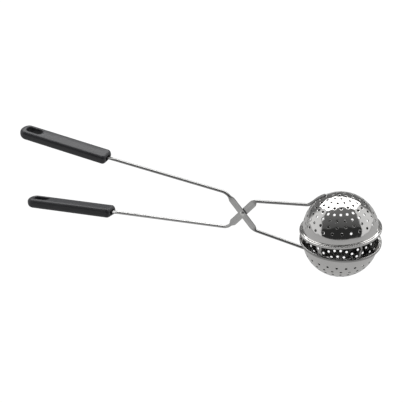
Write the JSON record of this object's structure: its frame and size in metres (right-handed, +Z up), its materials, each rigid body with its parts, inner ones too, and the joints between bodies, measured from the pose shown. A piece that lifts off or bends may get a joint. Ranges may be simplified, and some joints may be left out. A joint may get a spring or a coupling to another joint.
{
  "type": "tea infuser tongs",
  "caption": "Scissor tea infuser: crossed wire arms with slotted moulded handles, closing a perforated steel ball made of two cups.",
  "frame": {"origin": "middle of the ball's chamber, on the plane where the two cups meet; the pivot is on the X axis at the minus X side", "axes": "+X from the handles towards the ball, +Y along the rivet's axis, +Z up, from the bowl cup to the dome cup"},
  "size_m": [0.2526, 0.05, 0.0598],
  "materials": {
    "wire": "drawn stainless wire, semi-bright",
    "rivet": "bright headed stainless",
    "cups": "mirror-polished stainless sheet",
    "handles": "satin moulded, charcoal"
  },
  "bodies": {
    "bowl_arm": {"bowl_arm_wire": "wire", "pivot_rivet": "rivet", "strainer_bowl": "cups", "upper_handle": "handles"},
    "dome_arm": {"dome_arm_wire": "wire", "strainer_dome": "cups", "lower_handle": "handles"}
  },
  "joints": [
    {"name": "pivot", "type": "hinge", "parent": "bowl_arm", "child": "dome_arm", "pos_m": [-0.06572, 0, 0], "axis": [0, -1, 0], "range_deg": [-5.6, 45]}
  ]
}
